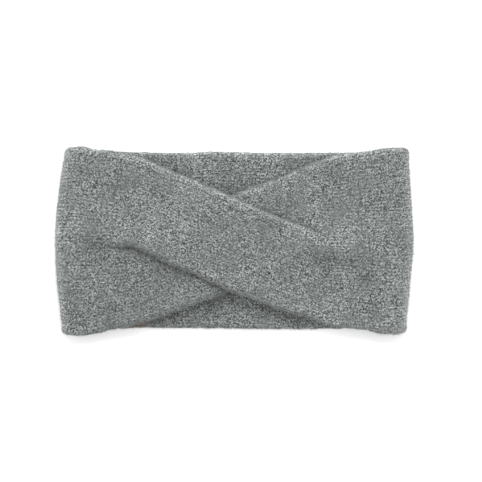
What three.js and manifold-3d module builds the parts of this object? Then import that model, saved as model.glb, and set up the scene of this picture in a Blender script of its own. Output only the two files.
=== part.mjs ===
import * as THREE from 'three';
import { mergeVertices } from 'three/addons/utils/BufferGeometryUtils.js';
import Module from 'manifold-3d';

// A knitted crossover ear warmer headband, lying flat with its front up.
// X runs along the band, Y across its width and Z up from the surface that it lies on.
// All lengths are in millimetres.

// Driving dimensions: the whole band
const bandLength = 226; // fold to fold, laid flat
const sideHeight = 119.4; // height of the knit near its side folds
const backRise = 56.2; // middle of the back panel, from the centre line up to its upper hem
const backDrop = 54.4; // and down to its lower hem
const wall = 3.5; // thickness of the knit, which is two plies
const foldDepth = 14; // depth of a side fold, from the surface to its top
const bulgeRun = 26; // how far the fold's bulge reaches along the front
const midHollow = 5.3; // hollow between the back panel and the lower strap
const leftBow = 5.3; // how far the middle of the left fold stands out past its corners
const rightBow = 4.4; // the same at the right fold
const bowPower = 1.7; // how sharply a bow bends: 2 is an even curve
const cornerDrop = 3; // how far a hem pulls in as it turns round a fold
const clearance = 0.3; // gap between knit faces that touch

// Driving dimensions: the crossing straps
const leftSplit = 81.8; // where the front splits in two, left of the middle
const rightSplit = 58; // the same, right of the middle
const leftClimb = 15.1; // run of the crease in which the upper strap climbs over the lower one
const rightClimb = 12; // run in which it comes down again
const stepFlat = 5; // how far the upper strap stays level past the lower strap's hidden hem
const stepSlope = 15; // and the run in which it then comes down

// Driving dimensions: the leather label
const labelLength = 24;
const labelWidth = 12;
const labelThickness = 1.2;
const labelSink = 0.9; // how deep it is pressed into the knit
const labelEnd = 56.7; // its right end, left of the middle
const labelInset = 0.2; // from the back panel's lower hem to its lower edge
const labelCorner = 0.8;

// Mesh steps
const faceSteps = 12; // across a knit face
const hemSteps = 2; // in a quarter of a rounded hem
const shoulderSteps = 6;
const foldSteps = 8;
const backSteps = 20;
const climbSteps = 4;
const crossingSteps = 18;
const cornerSteps = 3; // in a rounded corner of the label

// Worked out from the driving dimensions
const halfSide = sideHeight / 2;
const halfWall = wall / 2;
const foldRadius = foldDepth / 2 - halfWall;
const foldCentre = bandLength / 2 - foldDepth / 2;
const foldZ = foldDepth - halfWall;
const strapZ = wall + midHollow + halfWall;
const bowRun = foldCentre - leftSplit;
const crossingStart = leftClimb - leftSplit;
const crossingEnd = rightSplit - rightClimb;

// Hems of the two straps, as shares of half the side height. at is -1 at the left split, 0 where
// the crossing starts, 1 where it ends and 2 at the right split. Before 0 and after 1 the straps
// lie side by side, and their inner hems follow one crease.
const strapRows = [
  { at: -1.0, overUpper: 0.966, overLower: -0.04, underUpper: -0.04, underLower: -0.958 },
  { at: -0.63, overUpper: 0.949, overLower: -0.06, underUpper: -0.06, underLower: -0.928 },
  { at: 0.0, overUpper: 0.894, overLower: -0.067, underUpper: -0.067, underLower: -0.911 },
  { at: 0.083, overUpper: 0.818, overLower: -0.136, underUpper: 0.009, underLower: -0.868 },
  { at: 0.218, overUpper: 0.716, overLower: -0.251, underUpper: 0.139, underLower: -0.778 },
  { at: 0.38, overUpper: 0.598, overLower: -0.379, underUpper: 0.296, underLower: -0.666 },
  { at: 0.539, overUpper: 0.506, overLower: -0.548, underUpper: 0.452, underLower: -0.551 },
  { at: 0.689, overUpper: 0.354, overLower: -0.633, underUpper: 0.552, underLower: -0.335 },
  { at: 0.814, overUpper: 0.247, overLower: -0.716, underUpper: 0.633, underLower: -0.158 },
  { at: 0.902, overUpper: 0.179, overLower: -0.771, underUpper: 0.706, underLower: -0.032 },
  { at: 1.0, overUpper: 0.107, overLower: -0.815, underUpper: 0.787, underLower: 0.107 },
  { at: 2.0, overUpper: 0.002, overLower: -0.877, underUpper: 0.857, underLower: 0.002 },
];
const atLeftSplit = strapRows[0];
const atRightSplit = strapRows[strapRows.length - 1];

// Hems of the front shoulders, as shares of half the side height. at runs from split to fold.
const leftShoulderRows = [
  { at: 0.0, upper: atLeftSplit.overUpper, lower: atLeftSplit.underLower },
  { at: 0.4, upper: 0.978, lower: -0.983 },
  { at: 0.8, upper: 1.0, lower: -1.0 },
  { at: 1.0, upper: 1.0, lower: -1.0 },
];
const rightShoulderRows = [
  { at: 0.0, upper: atRightSplit.underUpper, lower: atRightSplit.overLower },
  { at: 0.26, upper: 0.932, lower: -0.916 },
  { at: 0.48, upper: 0.951, lower: -0.936 },
  { at: 0.68, upper: 0.975, lower: -0.968 },
  { at: 0.84, upper: 0.985, lower: -0.982 },
  { at: 1.0, upper: 0.985, lower: -0.982 },
];

// Hems of the back panel. at is a share of the way to a fold's centre, and the other columns say
// how far each hem has gone from its middle height to the height at the folds.
const backRows = [
  { at: -1.0, upper: 0.97, lower: 0.97 },
  { at: -0.86, upper: 0.5, lower: 0.5 },
  { at: -0.66, upper: 0.1, lower: 0.12 },
  { at: -0.3, upper: 0.0, lower: 0.05 },
  { at: 0.0, upper: 0.06, lower: 0.0 },
  { at: 0.35, upper: 0.0, lower: 0.04 },
  { at: 0.66, upper: 0.06, lower: 0.06 },
  { at: 0.86, upper: 0.4, lower: 0.35 },
  { at: 1.0, upper: 0.9, lower: 0.9 },
];

const mix = (from, to, share) => from + (to - from) * share;

function easeBetween(start, end, value) {
  const share = Math.min(1, Math.max(0, (value - start) / (end - start)));
  return share * share * (3 - 2 * share);
}

// A smooth curve through one column of a table, with no overshoot between its rows.
function readTable(rows, column, at) {
  const last = rows.length - 1;
  let i = 0;
  while (i < last - 1 && at > rows[i + 1].at) i += 1;
  const rise = (k) => (rows[k + 1][column] - rows[k][column]) / (rows[k + 1].at - rows[k].at);
  const slope = (k) => {
    if (k === 0) return rise(0);
    if (k === last) return rise(last - 1);
    const before = rise(k - 1);
    const after = rise(k);
    const share = (rows[k].at - rows[k - 1].at) / (rows[k + 1].at - rows[k - 1].at);
    const limit = 2 * Math.min(Math.abs(before), Math.abs(after));
    if (before * after <= 0) return 0;
    return Math.sign(after) * Math.min(limit, Math.abs(mix(before, after, share)));
  };
  const run = rows[i + 1].at - rows[i].at;
  const t = Math.min(1, Math.max(0, (at - rows[i].at) / run));
  const startTurn = t * (1 - t) * (1 - t) * run * slope(i);
  const endTurn = t * t * (t - 1) * run * slope(i + 1);
  return mix(rows[i][column], rows[i + 1][column], t * t * (3 - 2 * t)) + startTurn + endTurn;
}

// One closed ring round a knit wall, from its lower hem up the outer face and back down the inner.
// place turns a height and a distance from the middle surface into a point.
function wallRing(lower, upper, place) {
  const hem = [];
  for (let i = 1; i <= hemSteps; i += 1) {
    const angle = (i / hemSteps) * (Math.PI / 2);
    hem.push({ inset: halfWall * (1 - Math.cos(angle)), depth: halfWall * Math.sin(angle) });
  }
  const face = [];
  for (let i = 1; i < faceSteps; i += 1) {
    face.push({ y: mix(lower + halfWall, upper - halfWall, i / faceSteps), depth: halfWall });
  }
  const lowerHem = hem.map(({ inset, depth }) => ({ y: lower + inset, depth }));
  const upperHem = hem.map(({ inset, depth }) => ({ y: upper - inset, depth })).reverse();
  const side = [...lowerHem, ...face, ...upperHem];
  const outer = side.map(({ y, depth }) => place(y, depth));
  const inner = side.map(({ y, depth }) => place(y, -depth)).reverse();
  return [place(lower, 0), ...outer, place(upper, 0), ...inner];
}

// A closed solid through a row of rings. Each end is closed by strips from the outer face to the
// inner one, which come to a point at the hems.
function loft(rings) {
  const count = rings[0].length;
  const faces = [];
  for (let i = 0; i + 1 < rings.length; i += 1) {
    for (let j = 0; j < count; j += 1) {
      const here = i * count;
      const there = here + count;
      const next = (j + 1) % count;
      faces.push(here + j, there + next, here + next);
      faces.push(here + j, there + j, there + next);
    }
  }
  const closeEnd = (first, turned) => {
    for (let j = 0; j < count / 2; j += 1) {
      const strip = new Set([j, j + 1, count - j - 1, (count - j) % count]);
      const corners = [...strip].map((k) => first + k);
      if (turned) corners.reverse();
      for (let k = 2; k < corners.length; k += 1) {
        faces.push(corners[0], corners[k - 1], corners[k]);
      }
    }
  };
  closeEnd(0, false);
  closeEnd((rings.length - 1) * count, true);
  const geometry = new THREE.BufferGeometry();
  const positions = rings.flat().flatMap((point) => point.toArray());
  geometry.setAttribute('position', new THREE.Float32BufferAttribute(positions, 3));
  geometry.setIndex(faces);
  geometry.computeVertexNormals();
  return geometry;
}

function knitMaterial(colour) {
  return new THREE.MeshStandardMaterial({ color: colour, roughness: 0.95, metalness: 0 });
}

// Height of the front's middle surface: raised beside the folds, low under the crossing.
function frontZ(x) {
  return mix(strapZ, foldZ, easeBetween(foldCentre - bulgeRun, foldCentre, Math.abs(x)));
}

// How far a fold's bow pulls a point of the band towards the middle.
function bowShift(x, y) {
  const bow = x < 0 ? -leftBow : rightBow;
  const reach = easeBetween(foldCentre - bowRun, foldCentre, Math.abs(x));
  return bow * reach * Math.min(1, Math.abs(y) / halfSide) ** bowPower;
}

// A ring of the band at a place on its way round. x and z are on the middle surface at mid height,
// and the angle is the outer face's turn from straight up towards +X.
function bandRing({ x, z, angle, lower, upper }) {
  const place = (y, depth) => new THREE.Vector3(
    x + depth * Math.sin(angle) - bowShift(x, y),
    y,
    z + depth * Math.cos(angle),
  );
  return wallRing(lower, upper, place);
}

// Front shoulder from its split to its fold: side is 1 on the right and -1 on the left.
function shoulderRings(side, rows, split) {
  const rings = [];
  for (let i = 0; i < shoulderSteps; i += 1) {
    const at = i / shoulderSteps;
    const x = side * mix(split + clearance / 2, foldCentre, at);
    const lower = halfSide * readTable(rows, 'lower', at);
    const upper = halfSide * readTable(rows, 'upper', at);
    rings.push(bandRing({ x, z: frontZ(x), angle: 0, lower, upper }));
  }
  return rings;
}

const backUpper = (at) => mix(backRise, halfSide, readTable(backRows, 'upper', at));
const backLower = (at) => -mix(backDrop, halfSide, readTable(backRows, 'lower', at));

// Half turn round a side fold, from the front down to the back panel.
function foldRings(side, rows) {
  const rings = [];
  for (let i = 0; i <= foldSteps; i += 1) {
    const turn = (i / foldSteps) * Math.PI;
    const pull = cornerDrop * Math.sin(turn) ** 2;
    const upper = mix(halfSide * readTable(rows, 'upper', 1), backUpper(side), i / foldSteps) - pull;
    const lower = mix(halfSide * readTable(rows, 'lower', 1), backLower(side), i / foldSteps) + pull;
    const x = side * (foldCentre + foldRadius * Math.sin(turn));
    const z = foldDepth / 2 + foldRadius * Math.cos(turn);
    rings.push(bandRing({ x, z, angle: side * turn, lower, upper }));
  }
  return rings;
}

// Back panel between the folds, from right to left.
function backRings() {
  const rings = [];
  for (let i = 1; i < backSteps; i += 1) {
    const at = mix(1, -1, i / backSteps);
    const middle = { x: at * foldCentre, z: halfWall, angle: Math.PI };
    rings.push(bandRing({ ...middle, lower: backLower(at), upper: backUpper(at) }));
  }
  return rings;
}

// Outline of the label, drawn in its own plane with the right end of its lower edge at the origin.
function labelOutline(grow) {
  const left = -labelLength - grow;
  const bottom = -grow;
  const right = grow;
  const top = labelWidth + grow;
  const corner = labelCorner + grow;
  const outline = new THREE.Shape();
  outline.absarc(right - corner, bottom + corner, corner, -Math.PI / 2, 0);
  outline.absarc(right - corner, top - corner, corner, 0, Math.PI / 2);
  outline.absarc(left + corner, top - corner, corner, Math.PI / 2, Math.PI);
  outline.absarc(left + corner, bottom + corner, corner, Math.PI, Math.PI * 1.5);
  return outline;
}

function labelSolid(grow, bottom, top) {
  const options = { depth: top - bottom, bevelEnabled: false, curveSegments: cornerSteps };
  const geometry = new THREE.ExtrudeGeometry(labelOutline(grow), options);
  return geometry.translate(-labelEnd, labelInset - backDrop, bottom);
}

const wasm = await Module();
wasm.setup();

function toSolid(geometry) {
  const bare = geometry.clone();
  bare.deleteAttribute('normal');
  bare.deleteAttribute('uv');
  const merged = mergeVertices(bare);
  const vertProperties = new Float32Array(merged.attributes.position.array);
  const triVerts = new Uint32Array(merged.index.array);
  return new wasm.Manifold(new wasm.Mesh({ numProp: 3, vertProperties, triVerts }));
}

function toGeometry(solid) {
  const mesh = solid.getMesh();
  const geometry = new THREE.BufferGeometry();
  geometry.setAttribute('position', new THREE.BufferAttribute(mesh.vertProperties, 3));
  geometry.setIndex(new THREE.BufferAttribute(mesh.triVerts, 1));
  geometry.computeVertexNormals();
  return geometry;
}

function makeKnitBand() {
  const whole = loft([
    ...shoulderRings(1, rightShoulderRows, rightSplit),
    ...foldRings(1, rightShoulderRows),
    ...backRings(),
    ...foldRings(-1, leftShoulderRows).reverse(),
    ...shoulderRings(-1, leftShoulderRows, leftSplit).reverse(),
  ]);
  const pocketFloor = wall - labelSink - clearance;
  const pocket = labelSolid(clearance, pocketFloor, wall + midHollow / 2);
  const cut = toSolid(whole).subtract(toSolid(pocket));
  const band = new THREE.Mesh(toGeometry(cut), knitMaterial(0x80848a));
  band.name = 'knit_band';
  return band;
}

// Where a row of the strap table lies along X.
function strapX(at) {
  if (at < 0) return crossingStart + at * leftClimb;
  if (at > 1) return crossingEnd + (at - 1) * rightClimb;
  return mix(crossingStart, crossingEnd, at);
}

const strapTable = strapRows.map((row) => ({ ...row, at: strapX(row.at) }));

function strapHems(x) {
  const read = (column) => halfSide * readTable(strapTable, column, x);
  const overUpper = read('overUpper');
  const overLower = read('overLower');
  return {
    overUpper,
    overLower,
    underUpper: (x < crossingStart ? overLower : read('underUpper')) - clearance,
    underLower: (x > crossingEnd ? overUpper : read('underLower')) + clearance,
  };
}

// How much of the climb over the lower strap the upper strap has made at a point, from 0 to 1.
function climb(x, y, hems) {
  const left = easeBetween(-leftSplit, crossingStart, x);
  const right = easeBetween(rightSplit, crossingEnd, x);
  const stepTop = hems.underUpper + stepFlat;
  const stepBottom = hems.underLower - stepFlat;
  const above = easeBetween(stepTop + stepSlope, stepTop, y);
  const below = easeBetween(stepBottom - stepSlope, stepBottom, y);
  return left * right * above * below;
}

// Places along a strap: close together in the climbs, wider apart between them.
function strapStations() {
  const stations = [];
  const addRun = (from, to, steps) => {
    for (let i = 0; i < steps; i += 1) stations.push(mix(from, to, i / steps));
  };
  addRun(clearance / 2 - leftSplit, crossingStart, climbSteps);
  addRun(crossingStart, crossingEnd, crossingSteps);
  addRun(crossingEnd, rightSplit - clearance / 2, climbSteps);
  return [...stations, rightSplit - clearance / 2];
}

function makeStrap(name, lowerHem, upperHem, rise, colour) {
  const rings = strapStations().map((x) => {
    const hems = strapHems(x);
    const place = (y, depth) => new THREE.Vector3(x, y, frontZ(x) + rise * climb(x, y, hems) + depth);
    return wallRing(hems[lowerHem], hems[upperHem], place);
  });
  const strap = new THREE.Mesh(loft(rings), knitMaterial(colour));
  strap.name = name;
  return strap;
}

function makeLabel() {
  const bottom = wall - labelSink;
  const leather = new THREE.MeshStandardMaterial({ color: 0x7a4a3c, roughness: 0.6, metalness: 0 });
  const label = new THREE.Mesh(labelSolid(0, bottom, bottom + labelThickness), leather);
  label.name = 'leather_label';
  return label;
}

const headband = new THREE.Group();
headband.name = 'ear_warmer_headband';
headband.add(makeKnitBand());
headband.add(makeStrap('strap_over', 'overLower', 'overUpper', wall + clearance, 0x868a8c));
headband.add(makeStrap('strap_under', 'underLower', 'underUpper', 0, 0x7c8082));
headband.add(makeLabel());

export default headband;
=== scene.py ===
# %% [markdown]
# # A knitted ear warmer headband
# The real thing is a loop of soft two-ply knit in mixed grey wool, worn round the head over the
# ears. It lies flat with its front up. The front splits into two straps that cross and join again,
# and a small leather label sits inside the lower hem at the left.
# The solids come first, in metres, and each piece made here lies where its solid lies.

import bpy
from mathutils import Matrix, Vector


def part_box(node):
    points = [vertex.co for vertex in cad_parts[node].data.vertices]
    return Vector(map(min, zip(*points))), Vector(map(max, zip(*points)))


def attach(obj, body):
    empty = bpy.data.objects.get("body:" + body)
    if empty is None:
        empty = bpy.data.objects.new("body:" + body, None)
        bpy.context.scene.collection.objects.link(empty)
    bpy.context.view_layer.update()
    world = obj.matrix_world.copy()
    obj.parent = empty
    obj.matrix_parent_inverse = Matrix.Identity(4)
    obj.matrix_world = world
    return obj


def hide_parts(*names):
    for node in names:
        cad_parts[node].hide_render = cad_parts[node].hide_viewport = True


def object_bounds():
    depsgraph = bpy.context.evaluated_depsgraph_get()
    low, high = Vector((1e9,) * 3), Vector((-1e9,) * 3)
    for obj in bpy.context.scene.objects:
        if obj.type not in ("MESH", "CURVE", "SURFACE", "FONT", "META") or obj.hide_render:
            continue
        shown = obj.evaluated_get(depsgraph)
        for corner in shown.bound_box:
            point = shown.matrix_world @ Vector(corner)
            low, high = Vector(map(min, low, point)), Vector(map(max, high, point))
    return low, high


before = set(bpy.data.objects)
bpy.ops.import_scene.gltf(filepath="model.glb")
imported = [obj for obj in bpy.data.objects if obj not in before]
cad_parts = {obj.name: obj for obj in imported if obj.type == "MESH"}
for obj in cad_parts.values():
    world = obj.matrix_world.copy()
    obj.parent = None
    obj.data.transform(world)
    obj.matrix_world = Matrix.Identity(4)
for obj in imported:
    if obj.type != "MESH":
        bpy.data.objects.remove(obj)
cad_low, cad_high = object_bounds()
print("solids:", sorted(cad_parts))

# %% [markdown]
# ## The camera
# The headband was seen from straight above. A long lens from 3 m keeps its outline free of
# perspective, as a product picture does, and a wide lens would show the sides of the folds.
# The headband lies a little left of the middle of the picture.

# %% Make the camera
import bpy

MM = 0.001
PICTURE_WIDTH = 303.7 * MM
SENSOR_WIDTH = 36.0
CAMERA_PLACE = (3.84 * MM, 0.1 * MM)
CAMERA_HEIGHT = 3.0
camera_data = bpy.data.cameras.new("camera")
camera_data.sensor_width = SENSOR_WIDTH
camera_data.lens = SENSOR_WIDTH * (CAMERA_HEIGHT - cad_high.z) / PICTURE_WIDTH
camera = bpy.data.objects.new("camera", camera_data)
camera.location = (*CAMERA_PLACE, CAMERA_HEIGHT)
bpy.context.collection.objects.link(camera)
bpy.context.scene.camera = camera
print("lens:", round(camera_data.lens, 1), "mm")

# %% [markdown]
# ## Floor and light
# The headband lies on plain white paper that shows no edge and only a faint shadow. A wide soft
# lamp stands behind the upper hems, so that each upper hem is bright and each lower hem has a narrow
# soft shadow below it. A small hard lamp would draw black edges instead. A bright sky fills the
# rest, because wool shows its colour best in even light.

# %% Make the paper floor
import numpy as np

FLOOR_HALF = 4.0
PAPER_WHITE = (0.97, 0.97, 0.97, 1)
PAPER_ROUGHNESS = 0.9
PAPER_SHINE = 0.1
floor_corners = [(-FLOOR_HALF, -FLOOR_HALF, 0), (FLOOR_HALF, -FLOOR_HALF, 0)]
floor_corners += [(FLOOR_HALF, FLOOR_HALF, 0), (-FLOOR_HALF, FLOOR_HALF, 0)]
floor_mesh = bpy.data.meshes.new("floor")
floor_mesh.from_pydata(floor_corners, [], [(0, 1, 2, 3)])
floor = bpy.data.objects.new("floor", floor_mesh)
bpy.context.collection.objects.link(floor)

paper = bpy.data.materials.new("white_paper")
paper.use_nodes = True
paper_shader = paper.node_tree.nodes["Principled BSDF"]
paper_shader.inputs["Base Color"].default_value = PAPER_WHITE
paper_shader.inputs["Roughness"].default_value = PAPER_ROUGHNESS
paper_shader.inputs["Specular IOR Level"].default_value = PAPER_SHINE
floor_mesh.materials.append(paper)
print("floor:", 2 * FLOOR_HALF, "m wide")

# %% Make the lamp and the sky
from mathutils import Vector

LAMP_WATTS = 28
LAMP_PLACE = (0.1, 1.3, 1.6)
LAMP_SIZE = (1.4, 0.9)
SKY_STRENGTH = 1.28
lamp_data = bpy.data.lights.new("soft_lamp", "AREA")
lamp_data.shape = "RECTANGLE"
lamp_data.size, lamp_data.size_y = LAMP_SIZE
lamp_data.energy = LAMP_WATTS
lamp = bpy.data.objects.new("soft_lamp", lamp_data)
lamp.location = LAMP_PLACE
lamp.rotation_euler = (-Vector(LAMP_PLACE)).to_track_quat("-Z", "Y").to_euler()
bpy.context.collection.objects.link(lamp)

sky = bpy.data.worlds.new("white_sky")
sky.use_nodes = True
sky_light = sky.node_tree.nodes["Background"]
sky_light.inputs["Color"].default_value = (1, 1, 1, 1)
sky_light.inputs["Strength"].default_value = SKY_STRENGTH
bpy.context.scene.world = sky
bpy.context.scene.view_settings.view_transform = "Standard"
print("lamp:", LAMP_WATTS, "W, sky:", SKY_STRENGTH)

# %% [markdown]
# ## Sizes and hem lines
# A knitted wall is a surface with two hems, so the shape is told by a few lengths and by tables
# that say where each hem runs. The lengths are those of the solids, in millimetres. The tables
# follow the real hems more closely than the solids do, and stay within 3 mm of them. A drawn curve
# could do the same, but rows are easier to correct. The curve through a table is smooth and never
# swings past its rows, as a soft folded hem doesn't.

# %% Lengths of the headband
band_low, band_high = [np.array(corner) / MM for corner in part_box("knit_band")]
over_low, over_high = [np.array(corner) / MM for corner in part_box("strap_over")]
band_length = band_high[0] - band_low[0]
side_height = band_high[1] - band_low[1]
fold_depth = band_high[2] - band_low[2]
WALL = 3.5
MID_HOLLOW = 5.3
CLEARANCE = 0.3
left_split = CLEARANCE / 2 - over_low[0]
right_split = CLEARANCE / 2 + over_high[0]
half_side = side_height / 2
half_wall = WALL / 2
fold_radius = fold_depth / 2 - half_wall
fold_centre = (band_length - fold_depth) / 2
fold_z = fold_depth - half_wall
strap_z = WALL + MID_HOLLOW + half_wall
print("band, mm:", np.round([band_length, side_height, fold_depth], 1))

# %% Where the straps climb over each other
LEFT_CLIMB = 15.1
RIGHT_CLIMB = 12.0
STEP_FLAT = 5.0
STEP_SLOPE = 15.0
crossing_start = LEFT_CLIMB - left_split
crossing_end = right_split - RIGHT_CLIMB
print("straps cross from X", round(crossing_start, 1), "to", round(crossing_end, 1), "mm")

# Each row: place, then upper and lower hem of the upper strap, then of the lower strap.
# The place is -1 at the left split, 0 and 1 at the ends of the crossing and 2 at the right split.
STRAP_ROWS = np.array([
    (-1.0, 0.966, -0.052, -0.052, -0.958),
    (-0.63, 0.952, -0.066, -0.066, -0.928),
    (0.0, 0.923, -0.056, -0.056, -0.903),
    (0.083, 0.869, -0.105, 0.009, -0.854),
    (0.218, 0.755, -0.239, 0.139, -0.769),
    (0.38, 0.633, -0.361, 0.296, -0.657),
    (0.539, 0.498, -0.506, 0.462, -0.542),
    (0.689, 0.368, -0.604, 0.572, -0.328),
    (0.814, 0.272, -0.697, 0.656, -0.158),
    (0.902, 0.202, -0.752, 0.728, -0.032),
    (1.0, 0.139, -0.802, 0.807, 0.139),
    (2.0, 0.05, -0.877, 0.885, 0.05),
])

# %% Hems of the shoulders and the back panel
# Each row: place from split to fold, then upper and lower hem.
LEFT_SHOULDER_ROWS = np.array([
    (0.0, 0.966, -0.958),
    (0.4, 0.97, -0.983),
    (0.76, 0.998, -1.0),
    (1.0, 1.0, -1.0),
])
RIGHT_SHOULDER_ROWS = np.array([
    (0.0, 0.885, -0.877),
    (0.26, 0.928, -0.916),
    (0.48, 0.945, -0.936),
    (0.68, 0.968, -0.968),
    (0.84, 0.985, -0.982),
    (1.0, 0.985, -0.982),
])
# Each row: place from fold to fold, then how far each hem has gone to the height of the folds.
BACK_RISE = 55.9
BACK_DROP = 54.75
BACK_ROWS = np.array([
    (-1.0, 0.97, 0.97),
    (-0.86, 0.5, 0.44),
    (-0.68, 0.14, 0.15),
    (-0.57, 0.12, 0.03),
    (-0.3, 0.0, 0.03),
    (-0.1, 0.2, 0.08),
    (0.05, 0.05, 0.13),
    (0.35, 0.0, 0.2),
    (0.66, 0.05, 0.13),
    (0.86, 0.4, 0.3),
    (1.0, 0.9, 0.9),
])
print("hem rows:", len(STRAP_ROWS), "for the straps,", len(BACK_ROWS), "for the back panel")


# %% Read a hem from its table
def mix(start, end, share):
    return start + (end - start) * share


def ease_between(start, end, value):
    """0 before start, 1 after end and a soft turn between them."""
    share = np.clip((value - start) / (end - start), 0, 1)
    return share * share * (3 - 2 * share)


def read_table(rows, column, at):
    """A smooth curve through one column of a table, with no overshoot between its rows."""
    places, values = rows[:, 0], rows[:, column]
    runs = np.diff(places)
    rises = np.diff(values) / runs
    before, after = rises[:-1], rises[1:]
    share = runs[:-1] / (runs[:-1] + runs[1:])
    limit = 2 * np.minimum(abs(before), abs(after))
    inner = np.sign(after) * np.minimum(limit, abs(mix(before, after, share)))
    slopes = np.concatenate([rises[:1], np.where(before * after > 0, inner, 0), rises[-1:]])
    i = np.clip(np.searchsorted(places, at) - 1, 0, len(runs) - 1)
    t = np.clip((at - places[i]) / runs[i], 0, 1)
    start_turn = t * (1 - t) ** 2 * runs[i] * slopes[i]
    end_turn = t * t * (t - 1) * runs[i] * slopes[i + 1]
    return mix(values[i], values[i + 1], t * t * (3 - 2 * t)) + start_turn + end_turn


# %% Hems of the two straps
LEFT_SLIT_RUN = 14.0
RIGHT_SLIT_RUN = 22.0
strap_table = STRAP_ROWS.copy()
strap_table[:, 0] = np.interp(
    STRAP_ROWS[:, 0], [-1, 0, 1, 2], [-left_split, crossing_start, crossing_end, right_split]
)


def slit_open(x):
    """How far the slit between the straps has opened from its left and its right end, 0 to 1."""
    left = ease_between(-left_split, LEFT_SLIT_RUN - left_split, x)
    right = ease_between(right_split, right_split - RIGHT_SLIT_RUN, x)
    return left, right


def strap_hems(x):
    """Lower and upper hem of the upper strap, then of the lower strap."""
    left_open, right_open = slit_open(x)
    over_upper = half_side * read_table(strap_table, 1, x)
    over_lower = half_side * read_table(strap_table, 2, x)
    under_upper = half_side * read_table(strap_table, 3, x)
    under_upper = np.where(x < crossing_start, over_lower, under_upper)
    under_lower = half_side * read_table(strap_table, 4, x)
    under_lower = np.where(x > crossing_end, over_upper, under_lower)
    under_lower = under_lower + CLEARANCE * right_open
    return over_lower, over_upper, under_lower, under_upper - CLEARANCE * left_open


print("strap widths at the middle:", np.round(np.diff(strap_hems(0.0))[[0, 2]], 1), "mm")

# %% [markdown]
# ## Soft noise
# Wool that has been brushed is never even: its face has small felted lumps, and a flat-laid band
# has broad shallow waves. Sculpting them by hand would take hours, and a displacement picture would
# have to be read from disk. A sum of a few seeded waves gives the same lumps on every run.

# %% A smooth random field
NOISE_WAVES = 28
NOISE_LENGTHS = (1.5, 3.0)


def soft_noise(points, size, seed):
    """A smooth random height for each point, mostly -2 to 2, in lumps about size across."""
    chance = np.random.default_rng(seed)
    directions = chance.normal(size=(3, NOISE_WAVES))
    directions /= np.linalg.norm(directions, axis=0)
    lengths = size * chance.uniform(*NOISE_LENGTHS, NOISE_WAVES)
    phases = chance.uniform(0, 2 * np.pi, NOISE_WAVES)
    waves = np.cos(points @ (directions * 2 * np.pi / lengths) + phases)
    return waves.sum(axis=-1) * np.sqrt(2 / NOISE_WAVES)


print("soft noise is a sum of", NOISE_WAVES, "waves")

# %% [markdown]
# ## The lie of the front
# Seen from the side, the front bulges beside its folds and lies lower between them. The knit also
# dips where the slit between the straps begins, because the two straps pull apart there. Each piece
# could be bent by itself, but then the seams would show. One height for every point of the front
# serves all pieces, so that they join without a step.

# %% Height of the front
BULGE_RUN = 26.0
WAVE_HEIGHT = 0.32
WAVE_SIZE = 17.0
WAVE_SEED = 3
# Each row: middle X and Y of a soft dent, its reach along X and Y, and its depth.
DENTS = [
    (-88.0, -3.5, 8.0, 7.0, 2.0),
    (-78.0, -3.4, 8.0, 3.4, 0.9),
    (-67.0, -3.8, 8.0, 3.6, 1.2),
    (59.0, -13.0, 12.0, 6.0, 2.2),
    (82.0, -16.0, 13.0, 11.0, 1.0),
]


def soft_places(rows, x, y):
    """The sum of the rows' last values at each point, each fading softly from its middle."""
    total = 0 * x
    for middle_x, middle_y, reach_x, reach_y, amount in rows:
        far = ((x - middle_x) / reach_x) ** 2 + ((y - middle_y) / reach_y) ** 2
        total = total + amount * np.exp(-far)
    return total


def front_height(x, y):
    """Height of the front's middle surface."""
    height = mix(strap_z, fold_z, ease_between(fold_centre - BULGE_RUN, fold_centre, abs(x)))
    waves = soft_noise(np.stack([x, y, 0 * x], axis=-1), WAVE_SIZE, WAVE_SEED)
    return height + WAVE_HEIGHT * waves - soft_places(DENTS, x, y)


print("front height at the middle:", round(float(front_height(0.0, 0.0)), 2), "mm")


# %% How far the upper strap has climbed
def over_climb(x, y, under_lower, under_upper):
    """How much of its climb over the lower strap the upper strap has made, from 0 to 1."""
    left = ease_between(-left_split, crossing_start, x)
    right = ease_between(right_split, crossing_end, x)
    step_top = under_upper + STEP_FLAT
    step_bottom = under_lower - STEP_FLAT
    above = ease_between(step_top + STEP_SLOPE, step_top, y)
    below = ease_between(step_bottom - STEP_SLOPE, step_bottom, y)
    return left * right * above * below


climb_at_middle = over_climb(0.0, 0.0, *strap_hems(0.0)[2:])
print("share of the climb made at the middle:", round(float(climb_at_middle), 2))

# %% [markdown]
# ## A knitted wall
# The knit is two plies thick, and a hem is where the plies fold over, so a hem is round and soft.
# A thin sheet with a thickness modifier would give sharp square hems. Here each wall is a row of
# closed rings: up the outer face, round the upper hem, down the inner face and round the lower hem.
# Points on the outer face follow the wales, which are the columns of stitches, four points to each.

# %% One ring of a wall
WALE = 2.1
WALE_POINTS = 4
HEM_REACH = 2.6
HEM_STEPS = 6
RIDGE_AT_HEM = 0.3
RIDGE_RISE = 8


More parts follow.
